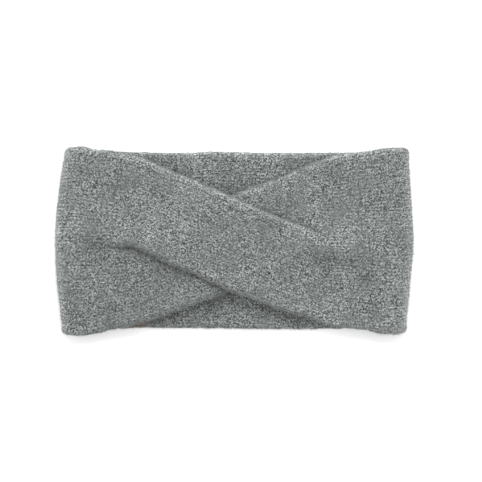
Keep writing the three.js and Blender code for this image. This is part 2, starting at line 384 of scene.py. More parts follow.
def knit_section(wales, inner_steps):
    """Columns of a ring: share of the way between hems, offset past it, depth and wale ridge."""
    turn = np.linspace(0, np.pi / 2, HEM_STEPS, endpoint=False)
    back_turn = turn[::-1]
    across = np.linspace(0, 1, WALE_POINTS * wales + 1)
    inside = np.linspace(1, 0, inner_steps + 1)
    hem, full, none = np.ones(HEM_STEPS), np.ones(across.size), np.zeros(across.size)
    share = [0 * hem, across, hem, hem[1:], inside, 0 * hem[1:]]
    offset = [-np.cos(turn), none, np.cos(back_turn), np.cos(turn[1:]), 0 * inside]
    offset += [-np.cos(back_turn[:-1])]
    depth = [np.sin(turn), full, np.sin(back_turn), -np.sin(turn[1:]), -np.ones(inside.size)]
    depth += [-np.sin(back_turn[:-1])]
    fullness = np.minimum(1, RIDGE_RISE * across * (1 - across) + RIDGE_AT_HEM)
    ridges = np.cos(np.arange(across.size) * 2 * np.pi / WALE_POINTS) * fullness
    ridge = [0 * hem, ridges, 0 * hem, 0 * hem[1:], 0 * inside, 0 * hem[1:]]
    return [np.concatenate(part) for part in (share, offset, depth, ridge)]


def section_run(wales, share, offset, depth):
    """Distance round a flat wall of that many wales at each column, and once round it."""
    height = share * wales * WALE + offset * HEM_REACH
    loop = np.stack([height, depth * half_wall], axis=-1)
    steps = np.linalg.norm(np.roll(loop, -1, axis=0) - loop, axis=1)
    run = np.concatenate([[0], np.cumsum(steps)])
    return run - run[HEM_STEPS]


print("one wale is", WALE, "mm wide, the wall", WALL, "mm thick")


# %% From rings to a smooth closed mesh
def unit(vectors):
    return vectors / np.maximum(np.linalg.norm(vectors, axis=-1, keepdims=True), 1e-9)


def outward(grid):
    """The outward direction at each point of a wall's grid of rings and columns."""
    along = np.gradient(grid, axis=0)
    around = np.roll(grid, -1, axis=1) - np.roll(grid, 1, axis=1)
    return unit(np.cross(along, around))


def grid_faces(rings, columns):
    """Four-sided faces between rings, then the two faces that close the ends."""
    ring, column = np.meshgrid(np.arange(rings - 1), np.arange(columns), indexing="ij")
    here = ring * columns + column
    beside = ring * columns + (column + 1) % columns
    quads = np.stack([here, here + columns, beside + columns, beside], axis=-1).reshape(-1, 4)
    first_end = list(range(columns))
    last_end = [(rings - 1) * columns + c for c in reversed(range(columns))]
    return quads.tolist() + [first_end, last_end]


def enclosed_volume(points, faces):
    """Volume inside a closed mesh, which is above 0 if its faces look outward."""
    total = 0.0
    for size in sorted({len(face) for face in faces}):
        corners = points[np.array([face for face in faces if len(face) == size])]
        for k in range(2, size):
            parts = corners[:, 0], np.cross(corners[:, k - 1], corners[:, k])
            total += (parts[0] * parts[1]).sum() / 6
    return total


print("two rings of 4 points close with", len(grid_faces(2, 4)), "faces")


# %% Put a mesh into the scene
SHARP_ANGLE = 1.1
print("edges over", round(float(np.degrees(SHARP_ANGLE))), "degrees stay sharp")


def add_piece(name, points, faces):
    """A new piece of the headband from points in millimetres. It rides on the one body."""
    mesh = bpy.data.meshes.new(name)
    mesh.from_pydata((points * MM).tolist(), [], faces)
    mesh.polygons.foreach_set("use_smooth", [True] * len(mesh.polygons))
    mesh.set_sharp_from_angle(angle=SHARP_ANGLE)
    piece = bpy.data.objects.new(name, mesh)
    bpy.context.collection.objects.link(piece)
    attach(piece, "root")
    return piece


def lay_fabric_map(piece, rings, columns, run_along, run_around):
    """A map in metres of the fabric: along the wales, and across them."""
    u = np.broadcast_to(run_along[:, None], (rings, columns + 1))
    v = np.broadcast_to(run_around, (rings, columns + 1))
    corner = np.stack([u, v], axis=-1) * MM
    quads = [corner[:-1, :-1], corner[1:, :-1], corner[1:, 1:], corner[:-1, 1:]]
    ends = [corner[0, :-1], corner[-1, :-1][::-1]]
    flat = [np.stack(quads, axis=2).reshape(-1, 2), *ends]
    layer = piece.data.uv_layers.new(name="fabric")
    layer.uv.foreach_set("vector", np.concatenate(flat).astype(np.float32).ravel())


# %% [markdown]
# ## The face of the knit
# Close up, the face has fine ridges where the wales run, felted lumps between them and a slightly
# fuller welt inside each hem. They are real relief here, and not only a trick of the material, so
# that the mesh by itself still shows a knit. They fade where another strap presses on the face.
# Painted light and shade are in the colour: painted highlights on the upper hems, painted shade on
# the lower hems, in the dents and below the crease, and broad painted patches. Each point keeps its
# painted light and shade, for the colour to read.

# %% Relief of the face
RIDGE_HEIGHT = 0.09
LUMP_HEIGHT = 0.085
LUMP_SIZE = 1.25
LUMP_SEED = 11
CLUMP_HEIGHT = 0.065
CLUMP_SIZE = 3.4
CLUMP_SEED = 12


def face_relief(grid, ridge, strength):
    """Height of ridges and lumps at each point."""
    lumps = LUMP_HEIGHT * soft_noise(grid, LUMP_SIZE, LUMP_SEED)
    clumps = CLUMP_HEIGHT * soft_noise(grid, CLUMP_SIZE, CLUMP_SEED)
    return (RIDGE_HEIGHT * ridge + lumps + clumps) * strength


print("ridges are", RIDGE_HEIGHT, "and small lumps about", LUMP_HEIGHT, "mm high")

# %% Painted light and shade places
# Painted shade in the dents, added to their real shading.
DENT_PAINTED_SHADE = 0.16
# Each row: middle X and Y, reach along X and Y, and painted light (below 0, painted shade).
PAINTED_LIGHT_SHADE_PLACES = [
    (-87.0, -26.0, 20.0, 24.0, -0.26),
    (-76.0, 38.0, 20.0, 14.0, -0.26),
    (-109.0, 46.0, 6.0, 14.0, 0.5),
    (-66.0, 53.6, 8.0, 3.2, 0.3),
    (-38.0, 5.0, 24.0, 10.0, 0.34),
    (-41.5, 8.5, 7.0, 6.0, 0.18),
    (-70.0, -4.0, 12.0, 10.0, 0.14),
    (22.0, 27.0, 14.0, 7.0, -0.2),
    (35.0, 3.0, 18.0, 7.0, 0.2),
    (46.0, 5.5, 8.0, 3.2, 0.22),
    (55.0, 1.0, 8.0, 3.6, 0.3),
    (61.0, -10.0, 14.0, 6.0, -0.16),
    (45.0, -22.0, 28.0, 12.0, -0.22),
    (80.0, -32.0, 24.0, 18.0, -0.14),
    (90.0, 49.0, 13.0, 11.0, -0.18),
    (-5.5, -32.5, 3.0, 2.6, -0.5),
]


def painted_front_shading(x, y):
    """Painted light and shade on the front at each point, with painted shade in its dents."""
    return soft_places(PAINTED_LIGHT_SHADE_PLACES, x, y) - DENT_PAINTED_SHADE * soft_places(DENTS, x, y)


print("pale and dull places:", len(PAINTED_LIGHT_SHADE_PLACES))

# %% Hems and welts of a wall
WELT_HEIGHT = 0.5
WELT_PLACE = 3.2
WELT_REACH = 2.6
HEM_WOBBLE = 0.11
HEM_WOBBLE_SIZE = 3.5
HEM_WOBBLE_SEED = 5
# How far the painted highlight and shade of the hems reach, and how dark the lower hems are painted.
PAINTED_HEM_REACH = 2.7
LOWER_HEM_PAINTED_SHADE = -0.1


def wobbled(hem, x, z):
    """A hem line with small wobbles, so that no hem is ruled straight."""
    points = np.stack([x, hem, z], axis=-1)
    return hem + HEM_WOBBLE * soft_noise(points, HEM_WOBBLE_SIZE, HEM_WOBBLE_SEED)


def soft_step(distance, reach):
    """1 at no distance, and softly down to 0 past the reach."""
    return np.exp(-((distance / reach) ** 2))


def wall_columns(lower, upper, section, lower_open, upper_open):
    """Place across the band, wall depth and painted light and shade, for each ring and column.

    A hem that is open is round. One that is closed lies flush against the next strap.
    """
    share, offset, depth = section
    across = mix((lower + HEM_REACH)[:, None], (upper - HEM_REACH)[:, None], share)
    across = across + offset * HEM_REACH
    below, above = across - lower[:, None], upper[:, None] - across
    lower_open, upper_open = lower_open[:, None], upper_open[:, None]
    opened = np.where(offset < 0, lower_open, np.where(offset > 0, upper_open, 1))
    rounded = mix(np.sign(depth), depth, opened)
    welt = lower_open * soft_step(below - WELT_PLACE, WELT_REACH)
    welt = welt + upper_open * soft_step(above - WELT_PLACE, WELT_REACH)
    # Painted highlight on open upper hems and faint painted shade on open lower hems.
    painted_light = LOWER_HEM_PAINTED_SHADE * lower_open * soft_step(below, PAINTED_HEM_REACH)
    painted_light = painted_light + upper_open * soft_step(above, PAINTED_HEM_REACH)
    return across, rounded * (half_wall + WELT_HEIGHT * welt * (depth > 0.5)), painted_light


print("a welt is", WELT_HEIGHT, "mm high and", WELT_PLACE, "mm inside its hem")

# %% [markdown]
# ## The two straps
# On the real headband each strap is a flat tube of knit. The upper one runs from the upper left to
# the lower right, over the other. Where its hems hang free, the lower one lifts a little and the
# upper one droops. Each strap could be a box bent by a lattice, but its hems follow free curves, so
# rings across it at every half millimetre give the hems, the climb and the relief at once.

# %% Points of a strap
LOWER_LIFT = 1.6
UPPER_DROOP = 2.7
DROOP_REACH = 8.0
STRAP_INNER_STEPS = 50
STRAP_INNER_RELIEF = 0.25


def strap_grid(lower, upper, x, wales, shape):
    """Points of one strap, ring by ring, with their painted light and shade."""
    share, offset, depth, ridge = knit_section(wales, STRAP_INNER_STEPS)
    level = 0 * x + strap_z
    lower, upper = wobbled(lower, x, level), wobbled(upper, x, level)
    across, through, painted_light = wall_columns(lower, upper, (share, offset, depth), *shape["open"])
    along = np.broadcast_to(x[:, None], across.shape)
    lower_free, upper_free = shape["free"]
    lift = LOWER_LIFT * lower_free[:, None] * soft_step(across - lower[:, None], DROOP_REACH)
    droop = UPPER_DROOP * upper_free[:, None] * soft_step(upper[:, None] - across, DROOP_REACH)
    middle = front_height(along, across) + shape["rise"](along, across) + lift - droop
    grid = np.stack([along, across, middle + through], axis=-1)
    strength = np.where(depth > 0, 1, STRAP_INNER_RELIEF)
    strength = strength * (1 - shape["pressed"](along, across) * (depth > 0))
    relief = face_relief(grid, ridge, strength)
    lifted = grid + outward(grid) * relief[..., None]
    lifted[[0, -1], :, 0] = x[[0, -1], None]
    # Painted light and shade on the outer face, and the painted shadow of the upper strap.
    tone = (painted_front_shading(along, across) - shape["painted_shade"](along, across)) * (depth > 0)
    return lifted, section_run(wales, share, offset, depth), painted_light + tone


print("free hems lift up to", LOWER_LIFT, "or droop up to", UPPER_DROOP, "mm")

# %% How the straps bear on each other
PRESSED_MARGIN = 5.0
# How far and how dark the painted shadow below the upper strap's lower hem reaches.
CREASE_REACH = 6.5
CREASE_PAINTED_SHADOW = 0.38


def nowhere(x, y):
    return 0 * x


def over_rise(x, y):
    under_lower, under_upper = strap_hems(x)[2:]
    return (WALL + CLEARANCE) * over_climb(x, y, under_lower, under_upper)


def under_pressed(x, y):
    """1 where the upper strap lies on the lower one, 0 where it doesn't."""
    over_lower, over_upper = strap_hems(x)[:2]
    above = ease_between(over_lower - 1, over_lower + PRESSED_MARGIN, y)
    below = ease_between(over_upper + 1, over_upper - PRESSED_MARGIN, y)
    return above * below


def crease_painted_shadow(x, y):
    """Painted shadow on the lower strap, below the upper strap's lower hem."""
    return CREASE_PAINTED_SHADOW * slit_open(x)[0] * soft_step(strap_hems(x)[0] - y, CREASE_REACH)


print("the upper strap climbs", round(over_rise(0.0, 0.0), 2), "mm over the lower one")

# %% Shape both straps
RING_STEP = 0.52
OVER_WALES = 26
UNDER_WALES = 23
DROOP_RUN = 20.0
FREE_GAP = 12.0


def free_ends(x):
    """0 at both splits and 1 between them, where a strap's hems hang free."""
    left = ease_between(-left_split, DROOP_RUN - left_split, x)
    return left * ease_between(right_split, right_split - DROOP_RUN, x)


strap_x = np.linspace(-left_split, right_split, int((left_split + right_split) / RING_STEP))
over_lower, over_upper, under_lower, under_upper = strap_hems(strap_x)
left_open, right_open = slit_open(strap_x)
ends = free_ends(strap_x)


def free_by(gap):
    """How freely a hem hangs that lies past the other strap's hem by that gap."""
    return ends * ease_between(0, FREE_GAP, gap)


over_shape = {
    "open": (left_open, right_open),
    "free": (free_by(under_lower - over_lower), free_by(over_upper - under_upper)),
    "rise": over_rise,
    "pressed": nowhere,
    "painted_shade": nowhere,
}
under_shape = {
    "open": (right_open, left_open),
    "free": (free_by(over_lower - under_lower), free_by(under_upper - over_upper)),
    "rise": nowhere,
    "pressed": under_pressed,
    "painted_shade": crease_painted_shadow,
}
over_grid, over_run, over_painted_light = strap_grid(over_lower, over_upper, strap_x, OVER_WALES, over_shape)
under_grid, under_run, under_painted_light = strap_grid(
    under_lower, under_upper, strap_x, UNDER_WALES, under_shape
)
print("strap rings and columns:", over_grid.shape[:2], under_grid.shape[:2])


# %% Make both straps
MM3_IN_CM3 = 1000


def add_wall(name, grid, run_along, run_around, painted_light):
    """A piece from a wall's grid of points, with its fabric map and its painted light and shade."""
    rings, columns = grid.shape[:2]
    faces = grid_faces(rings, columns)
    points = grid.reshape(-1, 3)
    volume = enclosed_volume(points, faces)
    piece = add_piece(name, points, faces)
    lay_fabric_map(piece, rings, columns, run_along, run_around)
    painted_light_and_shade = piece.data.attributes.new("painted_light_and_shade", "FLOAT", "POINT")
    painted_light_and_shade.data.foreach_set("value", painted_light.astype(np.float32).ravel())
    print(name, "has", len(faces), "faces and encloses", round(volume / MM3_IN_CM3, 1), "cm3")
    return piece


strap_over = add_wall("strap_over_knit", over_grid, strap_x, over_run, over_painted_light)
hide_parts("strap_over")
strap_under = add_wall("strap_under_knit", under_grid, strap_x, under_run, under_painted_light)
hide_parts("strap_under")

# %% [markdown]
# ## The band
# The band goes from the right split over the shoulder, round the right fold, along the back panel,
# round the left fold and over the left shoulder to the left split. On the real headband this is one
# run of knit with no seam at the folds. So it is one mesh here, swept ring by ring along that path,
# and not five pieces that would show their joints.

# %% Path of the band
LOWER_CORNER_DROP = 1.5
UPPER_CORNER_DROP = 1.2
SHOULDER_STEP = 0.6
FOLD_RINGS = 16
BACK_STEP = 1.5


def back_hems(at):
    upper = mix(BACK_RISE, half_side, read_table(BACK_ROWS, 1, at))
    lower = -mix(BACK_DROP, half_side, read_table(BACK_ROWS, 2, at))
    return lower, upper


def shoulder_path(side, rows, split):
    """X, Z, turn, lower and upper hem of a shoulder's rings, from its split to its fold."""
    at = np.linspace(0, 1, int((fold_centre - split) / SHOULDER_STEP), endpoint=False)
    x = side * mix(split, fold_centre, at)
    lower, upper = half_side * read_table(rows, 2, at), half_side * read_table(rows, 1, at)
    return np.stack([x, 0 * x, 0 * x, lower, upper, 1 + 0 * x], axis=-1)


def fold_path(side, rows):
    """The same for the half turn round a fold."""
    at = np.linspace(0, 1, FOLD_RINGS)
    turn = at * np.pi
    pull = np.sin(turn) ** 2
    lower_back, upper_back = back_hems(np.array([float(side)]))
    upper = mix(half_side * rows[-1, 1], upper_back, at) - UPPER_CORNER_DROP * pull
    lower = mix(half_side * rows[-1, 2], lower_back, at) + LOWER_CORNER_DROP * pull
    x = side * (fold_centre + fold_radius * np.sin(turn))
    z = fold_depth / 2 + fold_radius * np.cos(turn)
    return np.stack([x, z, side * turn, lower, upper, 0 * x], axis=-1)


def back_path():
    """The same for the back panel, from the right fold to the left one."""
    at = np.linspace(1, -1, int(2 * fold_centre / BACK_STEP))[1:-1]
    lower, upper = back_hems(at)
    x, z, turn = at * fold_centre, 0 * at + half_wall, 0 * at + np.pi
    return np.stack([x, z, turn, lower, upper, 0 * at], axis=-1)


path = np.concatenate([
    shoulder_path(1, RIGHT_SHOULDER_ROWS, right_split),
    fold_path(1, RIGHT_SHOULDER_ROWS),
    back_path(),
    fold_path(-1, LEFT_SHOULDER_ROWS)[::-1],
    shoulder_path(-1, LEFT_SHOULDER_ROWS, left_split)[::-1],
])
print("band rings:", len(path))

# %% Wales of the band meet the wales of the straps
BETWEEN_WALES = 3
BAND_WALES = OVER_WALES + UNDER_WALES + BETWEEN_WALES
BAND_INNER_STEPS = 104


def split_shares(lower_wales, lower_strap, upper_strap):
    """Where each wale crosses a split, as shares of the way between the band's hems there."""
    bottom, top = lower_strap[0] + HEM_REACH, upper_strap[1] - HEM_REACH
    heights = [bottom, lower_strap[1] - HEM_REACH, upper_strap[0] + HEM_REACH, top]
    counts = [0, lower_wales, lower_wales + BETWEEN_WALES, BAND_WALES]
    wales = np.linspace(0, BAND_WALES, WALE_POINTS * BAND_WALES + 1)
    return (np.interp(wales, counts, heights) - bottom) / (top - bottom)


left_hems = strap_hems(np.array(-left_split))
right_hems = strap_hems(np.array(right_split))
left_shares = split_shares(UNDER_WALES, left_hems[2:], left_hems[:2])
right_shares = split_shares(OVER_WALES, right_hems[:2], right_hems[2:])
print("wales of the band:", BAND_WALES)


def band_shares(x, on_front, share, depth):
    """Shares on the outer face: even on the folds and back, and as the straps' at the splits."""
    shares = np.broadcast_to(share, (x.size, share.size)).copy()
    face = np.flatnonzero(depth == 1)
    near_left = on_front * ease_between(-fold_centre, -left_split, x) * (x < 0)
    near_right = on_front * ease_between(fold_centre, right_split, x) * (x > 0)
    even = shares[:, face]
    shares[:, face] = even + near_left[:, None] * (left_shares - even)
    shares[:, face] += near_right[:, None] * (right_shares - even)
    return shares


# %% Bow of the folds
# How far each corner of the outline is pulled in, and how late towards the corner.
BOWS = {(-1, -1): (5.4, 1.9), (-1, 1): (7.2, 1.8), (1, -1): (5.7, 1.15), (1, 1): (3.6, 1.05)}
LEFT_BULGE = 0.5


def bow_shift(x, y):
    """How far a fold's bow pulls a point towards the middle."""
    reach = ease_between(left_split, fold_centre, abs(x))
    shift = LEFT_BULGE * (x < 0)
    for (side, end), (bow, power) in BOWS.items():
        here = (x * side > 0) & (y * end > 0)
        shift = shift + here * side * bow * np.minimum(1, abs(y) / half_side) ** power
    return shift * reach


print("corners are pulled in by up to", max(bow for bow, power in BOWS.values()), "mm")

# %% Points of the band
BAND_INNER_RELIEF = 0.7
FOLD_RIDGES = 1.2
# Painted rim highlight on the sides of the folds, and painted shade on the inner faces.
FOLD_RIM_HIGHLIGHT = 0.75
RIM_FROM, RIM_FULL = 0.2, 0.95
INSIDE_PAINTED_SHADE = 0.08


def band_grid(path):
    """Points of the band, ring by ring, with the run round a ring and the painted light and shade.
    """
    share, offset, depth, ridge = knit_section(BAND_WALES, BAND_INNER_STEPS)
    x, z, turn, lower, upper, on_front = path.T
    shares = band_shares(x, on_front, share, depth)
    level = z + on_front * strap_z
    lower, upper = wobbled(lower, x, level), wobbled(upper, x, level)
    whole = np.ones(x.size)
    across, through, painted_light = wall_columns(lower, upper, (shares, offset, depth), whole, whole)
    along = np.broadcast_to(x[:, None], across.shape)
    front_end = front_height(np.sign(along) * fold_centre, across) - fold_z
    fold_share = np.clip(1 - abs(turn[:, None]) / np.pi, 0, 1) * (1 - on_front[:, None])
    folded = z[:, None] + front_end * fold_share
    middle = np.where(on_front[:, None] > 0, front_height(along, across), folded)
    sine, cosine = np.sin(turn)[:, None], np.cos(turn)[:, None]
    place = [along + through * sine - bow_shift(along, across), across, middle + through * cosine]
    grid = np.stack(place, axis=-1)
    stretched = 1 + FOLD_RIDGES * ease_between(fold_centre - BULGE_RUN, fold_centre, abs(along))
    relief = face_relief(grid, ridge * stretched, np.where(depth > 0, 1, BAND_INNER_RELIEF))
    lifted = grid + outward(grid) * relief[..., None]
    lifted[[0, -1], :, 0] = x[[0, -1], None]
    lifted[..., 2] = np.maximum(lifted[..., 2], 0)
    # Painted light and shade: front patches, painted shade inside and a painted rim highlight on
    # folds.
    tone = painted_front_shading(along, across) * (depth > 0) * np.maximum(cosine, 0)
    tone = tone - INSIDE_PAINTED_SHADE * (depth < 0)
    rim = FOLD_RIM_HIGHLIGHT * ease_between(RIM_FROM, RIM_FULL, abs(sine)) * (1 - on_front[:, None])
    return lifted, section_run(BAND_WALES, share, offset, depth), np.maximum(painted_light, rim) + tone


band_points, band_run, band_painted_light = band_grid(path)
print("band rings and columns:", band_points.shape[:2])

# %% Make the band
face_line = band_points[:, len(band_run) // 4]
band_along = np.concatenate([[0], np.cumsum(np.linalg.norm(np.diff(face_line, axis=0), axis=1))])
band = add_wall("band_knit", band_points, band_along, band_run, band_painted_light)
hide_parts("knit_band")
print("band is", round(band_along[-1]), "mm along its outer face")

# %% [markdown]
# ## Stray wool fibres
# Brushed wool has a short nap: fibres 1 to 3 mm long that rise from the face and soften every
# edge. Hair particles would vanish from an exported mesh. So each fibre is a very thin closed spike
# with one bend, three-sided, rooted just under the face. They stand most thickly on the hems and
# side folds, where the bend opens the knit, and few are placed on faces that nobody sees.

# %% Where fibres are rooted
def nap_roots(grid, weight, count, chance):
    """Random places on a wall, with the face's outward and lengthwise directions there."""
    side = grid[1:, :] - grid[:-1, :]
    over = np.roll(grid, -1, axis=1) - grid
    area = np.linalg.norm(np.cross(side, over[:-1]), axis=-1)
    odds = (area * weight[:-1]).ravel()
    cells = chance.choice(odds.size, count, p=odds / odds.sum())
    ring, column = np.unravel_index(cells, area.shape)
    shift = chance.uniform(0, 1, (2, count, 1))
    places = grid[ring, column] + shift[0] * side[ring, column] + shift[1] * over[ring, column]
    return places, outward(grid)[ring, column], unit(side[ring, column])


# %% Shape of the fibres
FIBRE_LENGTH = 1.7
FIBRE_SPREAD = 0.35
FIBRE_RADIUS = 0.042
RADIUS_RANGE = (0.7, 1.35)
BEND_THICKNESS = 0.85
# How a fibre stands up: the two numbers of a beta spread, and its greatest angle in radians.
STANCE = (1.3, 2.6)
STANCE_ANGLE = 1.4
SWERVE = 0.55
SETTLE_RANGE = (-0.25, 0.75)
ROOT_SINK = 0.15
SIDE_TILT = 0.3


def fibre_points(places, out, along, chance):
    """Seven points for each fibre: three round its root, three round its bend, and its tip."""
    count = len(places)
    across = np.cross(out, along)
    heading = chance.uniform(0, 2 * np.pi, (count, 1))
    lift = chance.beta(*STANCE, (count, 1)) * STANCE_ANGLE
    swerve = heading + chance.normal(0, SWERVE, (count, 1))
    settle = lift - chance.uniform(*SETTLE_RANGE, (count, 1))

    def direction(way, rise):
        flat = along * np.cos(way) + across * np.sin(way)
        return flat * np.cos(rise) + out * np.sin(rise)

    length = FIBRE_LENGTH * np.exp(chance.normal(0, FIBRE_SPREAD, (count, 1)))
    first, second = direction(heading, lift), direction(swerve, settle)
    root = places - out * ROOT_SINK
    bend = root + first * (length / 2 + ROOT_SINK)
    tip = bend + second * length / 2
    sideways = unit(np.cross(first, out + SIDE_TILT * along))
    upward = np.cross(first, sideways)
    radius = FIBRE_RADIUS * chance.uniform(*RADIUS_RANGE, (count, 1))
    corners = []
    for middle, thickness in ((root, 1.0), (bend, BEND_THICKNESS)):
        for k in range(3):
            angle = k * 2 * np.pi / 3
            spoke = sideways * np.cos(angle) + upward * np.sin(angle)
            corners.append(middle + spoke * radius * thickness)
    return np.stack([*corners, tip], axis=1)


print("fibres are about", FIBRE_LENGTH, "mm long and", 2 * FIBRE_RADIUS, "mm thick")

# %% Grow a nap on a wall
FLOOR_GAP = 0.02
FIBRE_POINTS = 7
FIBRE_FACES = [
    (0, 2, 1), (0, 1, 4), (0, 4, 3), (1, 2, 5), (1, 5, 4),
    (2, 0, 3), (2, 3, 5), (3, 4, 6), (4, 5, 6), (5, 3, 6),
]
print("one fibre has", len(FIBRE_FACES), "faces")


def add_nap(name, grid, weight, count, seed):
    """A piece with that many fibres on a wall. None of them goes into the floor."""
    chance = np.random.default_rng(seed)
    fibres = fibre_points(*nap_roots(grid, weight, count, chance), chance)
    fibres[..., 2] = np.maximum(fibres[..., 2], FLOOR_GAP)
    faces = np.array(FIBRE_FACES)[None] + FIBRE_POINTS * np.arange(count)[:, None, None]
    piece = add_piece(name, fibres.reshape(-1, 3), faces.reshape(-1, 3).tolist())
    tone = piece.data.attributes.new("tone", "FLOAT", "POINT")
    tones = np.repeat(chance.uniform(0, 1, count), FIBRE_POINTS)
    tone.data.foreach_set("value", tones.astype(np.float32))
    print(name, "has", count, "fibres")
    return piece


# %% Where the fibres stand
OVER_FIBRES = 16000
UNDER_FIBRES = 12000
BAND_FIBRES = 19500
HEM_WEIGHT = 6.0
FOLD_WEIGHT = 7.0
FRONT_WEIGHT = 2.2
FLOOR_WEIGHT = 0.3
STRAP_INNER_WEIGHT = 0.05
BAND_INNER_WEIGHT = 0.7
PRESSED_WEIGHT = 0.02
NEAR_FLOOR = 1.0
FOLD_BEFORE, FOLD_PAST = 4, 2


def section_weight(wales, inner_steps, inner_weight):
    """How thickly fibres stand at each column of a ring."""
    depth = knit_section(wales, inner_steps)[2]
    return np.where(depth == -1, inner_weight, np.where(depth == 1, 1, HEM_WEIGHT))


over_weight = section_weight(OVER_WALES, STRAP_INNER_STEPS, STRAP_INNER_WEIGHT)
over_weight = np.broadcast_to(over_weight, over_grid.shape[:2])
pressed = under_pressed(under_grid[..., 0], under_grid[..., 1])
under_weight = section_weight(UNDER_WALES, STRAP_INNER_STEPS, STRAP_INNER_WEIGHT)
under_weight = under_weight * (1 + PRESSED_WEIGHT - pressed)
band_weight = section_weight(BAND_WALES, BAND_INNER_STEPS, BAND_INNER_WEIGHT)
from_middle = abs(band_points[..., 0])
on_floor = (band_points[..., 2] < NEAR_FLOOR) & (from_middle < fold_centre)
band_weight = np.where(on_floor, FLOOR_WEIGHT, band_weight)
front_share = np.where(path[:, 5] > 0, FRONT_WEIGHT, 1)[:, None]
near_fold = ease_between(fold_centre - FOLD_BEFORE, fold_centre + FOLD_PAST, from_middle)
fold_share = mix(1, FOLD_WEIGHT, near_fold)
print("fibres in all:", OVER_FIBRES + UNDER_FIBRES + BAND_FIBRES)

# %% Grow the nap on all three walls
OVER_SEED, UNDER_SEED, BAND_SEED = 21, 22, 23
over_nap = add_nap("strap_over_nap", over_grid, over_weight, OVER_FIBRES, OVER_SEED)
under_nap = add_nap("strap_under_nap", under_grid, under_weight, UNDER_FIBRES, UNDER_SEED)
band_weight = band_weight * front_share * fold_share
band_nap = add_nap("band_nap", band_points, band_weight, BAND_FIBRES, BAND_SEED)

# %% [markdown]
# ## The leather label
# The real label is a small strip of dark brown leather with cut edges, let a little into the soft
# knit. Only a sliver of it shows below the front. A box with a bevel would keep a flat face. So
# it is built as loops that step inward from its edge, which rounds the cut edge and crowns the
# face.

# %% Loops round the label
LABEL_BOX = [np.array(corner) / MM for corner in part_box("leather_label")]
LABEL_CORNER = 0.8
LEAST_CORNER = 0.15
CORNER_POINTS = 7
EDGE_POINTS = 16
# Each row: step in from the edge, and height as a share of the label's thickness.
LABEL_LOOPS = [
    (1.6, 0.0), (0.35, 0.0), (0.1, 0.08), (0.0, 0.25), (0.0, 0.7), (0.06, 0.86),
    (0.2, 0.95), (0.45, 0.985), (1.0, 0.99), (2.0, 0.985), (3.5, 1.0), (5.0, 1.0),
]


def rounded_loop(low, high, inset):
    """A closed loop of points round a rectangle with round corners, moved in by inset."""
    corner = max(LABEL_CORNER - inset, LEAST_CORNER)
    low, high = low + inset + corner, high - inset - corner
    middles = [(high[0], low[1]), (high[0], high[1]), (low[0], high[1]), (low[0], low[1])]
    loop = []
    for k, middle in enumerate(middles):
        angles = np.linspace(k - 1, k, CORNER_POINTS) * np.pi / 2
        arc = np.stack([np.cos(angles), np.sin(angles)], axis=-1) * corner + middle
        loop.append(arc)
        way = np.array([np.cos(k * np.pi / 2), np.sin(k * np.pi / 2)])
        ahead = middles[(k + 1) % 4] + way * corner
        loop.append(mix(arc[-1], ahead, np.linspace(0, 1, EDGE_POINTS, endpoint=False)[1:, None]))
    return np.concatenate(loop)


print("label:", np.round(LABEL_BOX[1] - LABEL_BOX[0], 1), "mm")


# %% Make the label
FACE_LOOP = 6
FACE_DIP = 0.03
FACE_UNEVEN = 0.02
FACE_NOISE_SIZE = 2.5
FACE_SEED = 31


def label_points():
    """Rings of points over the label, from the middle of its back to the middle of its face."""
    low, high = LABEL_BOX
    loops = []
    for inset, share in LABEL_LOOPS:
        loop = rounded_loop(low[:2], high[:2], inset)
        level = np.full((len(loop), 1), mix(low[2], high[2], share))
        loops.append(np.concatenate([loop, level], axis=1))
    grid = np.stack(loops)
    face = grid[FACE_LOOP:]
    face[..., 2] -= FACE_DIP + FACE_UNEVEN * soft_noise(face, FACE_NOISE_SIZE, FACE_SEED)
    return grid


label_grid = label_points()[:, ::-1]
label_faces = grid_faces(*label_grid.shape[:2])
print("label volume:", round(enclosed_volume(label_grid.reshape(-1, 3), label_faces), 1), "mm3")
label = add_piece("label_leather", label_grid.reshape(-1, 3), label_faces)
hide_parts("leather_label")

# %% [markdown]
# ## The wool's colour
# Heather wool is spun from fibres dyed in several greys, so there is no single colour: dark and
# light flecks under a millimetre across lie in a middle grey. A picture texture would repeat. Small
# cells of random grey are the flecks here, and noise bends and breaks them up. Broader noise makes
# the flecks stronger in some places than in others, as in worn knit.


# %% Helpers for materials
def new_material(name):
    material = bpy.data.materials.new(name)
    material.use_nodes = True
    return material, material.node_tree.nodes["Principled BSDF"]


def add_node(material, kind, links, **settings):
    """A node of that kind, with its settings, and its inputs linked or set by name or number."""
    node = material.node_tree.nodes.new(kind)
    for key, value in settings.items():
        setattr(node, key, value)
    for key, value in links.items():
        if isinstance(value, bpy.types.NodeSocket):
            material.node_tree.links.new(value, node.inputs[key])
        else:
            node.inputs[key].default_value = value
    return node


def add_noise(material, where, scale, detail, roughness=0.6):
    links = {"Vector": where, "Scale": scale, "Detail": detail, "Roughness": roughness}
    return add_node(material, "ShaderNodeTexNoise", links).outputs["Fac"]


def add_ramp(material, share, stops):
    ramp = add_node(material, "ShaderNodeValToRGB", {"Fac": share})
    elements = ramp.color_ramp.elements
    while len(elements) < len(stops):
        elements.new(0.5)
    for element, (place, colour) in zip(elements, stops):
        element.position = place
        element.color = (*colour, 1)
    return ramp.outputs["Color"]


def multiply_colours(material, first, second):
    links = {0: 1.0, 6: first, 7: second}
    node = add_node(material, "ShaderNodeMix", links, data_type="RGBA", blend_type="MULTIPLY")
    return node.outputs[2]


def add_math(material, work, first, second=0.0):
    return add_node(material, "ShaderNodeMath", {0: first, 1: second}, operation=work).outputs[0]


